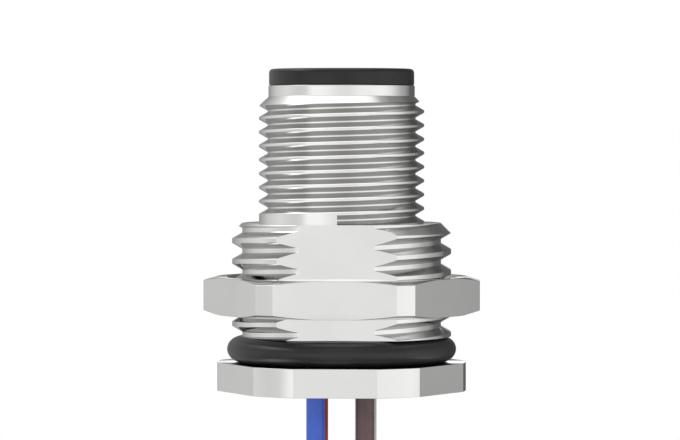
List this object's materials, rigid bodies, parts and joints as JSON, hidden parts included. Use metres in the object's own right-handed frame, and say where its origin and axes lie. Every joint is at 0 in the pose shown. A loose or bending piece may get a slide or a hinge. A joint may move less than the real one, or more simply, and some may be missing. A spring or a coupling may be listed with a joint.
{
  "type": "panel-mount circular connector receptacle",
  "caption": "Circular M12 male panel receptacle: hexagonal flange, seal and lock nut on an M16 section, flying leads at the rear.",
  "frame": {"origin": "on the axis, in the top face of the hexagonal flange, where the panel lies", "axes": "+Z along the axis to the mating end, -Y towards the flat milled along the panel thread, which is also the side of the coding rib"},
  "size_m": [0.021, 0.018, 0.0594],
  "materials": {
    "nickel_plate": "satin nickel plate on brass",
    "black_plastic": "moulded black, matte",
    "gold_contacts": "gold-plated",
    "seal_rubber": "black nitrile rubber, satin",
    "potting_resin": "cast resin, smooth",
    "tinned_copper": "tinned, satin",
    "brown_insulation": "extruded, satin",
    "white_insulation": "extruded, satin",
    "red_insulation": "extruded, satin",
    "blue_insulation": "extruded, satin",
    "coiled_leads": "four coiled leads, satin",
    "tie_nylon": "natural nylon, smooth"
  },
  "bodies": {
    "housing": {"housing": "nickel_plate", "contact_carrier": "black_plastic", "pin_1": "gold_contacts", "pin_2": "gold_contacts", "pin_3": "gold_contacts", "pin_4": "gold_contacts", "panel_seal": "seal_rubber", "rear_potting": "potting_resin", "solder_joints": "tinned_copper", "brown_wire": "brown_insulation", "white_wire": "white_insulation", "red_wire": "red_insulation", "blue_wire": "blue_insulation", "brown_conductor": "tinned_copper", "white_conductor": "tinned_copper", "red_conductor": "tinned_copper", "blue_conductor": "tinned_copper", "wire_coil": "coiled_leads", "wire_tie": "tie_nylon"},
    "lock_nut": {"lock_nut": "nickel_plate"}
  },
  "joints": [
    {"name": "lock_nut_travel", "type": "slide", "parent": "housing", "child": "lock_nut", "axis": [0, 0, 1], "range_m": [-0.00125, 0.00658]}
  ]
}
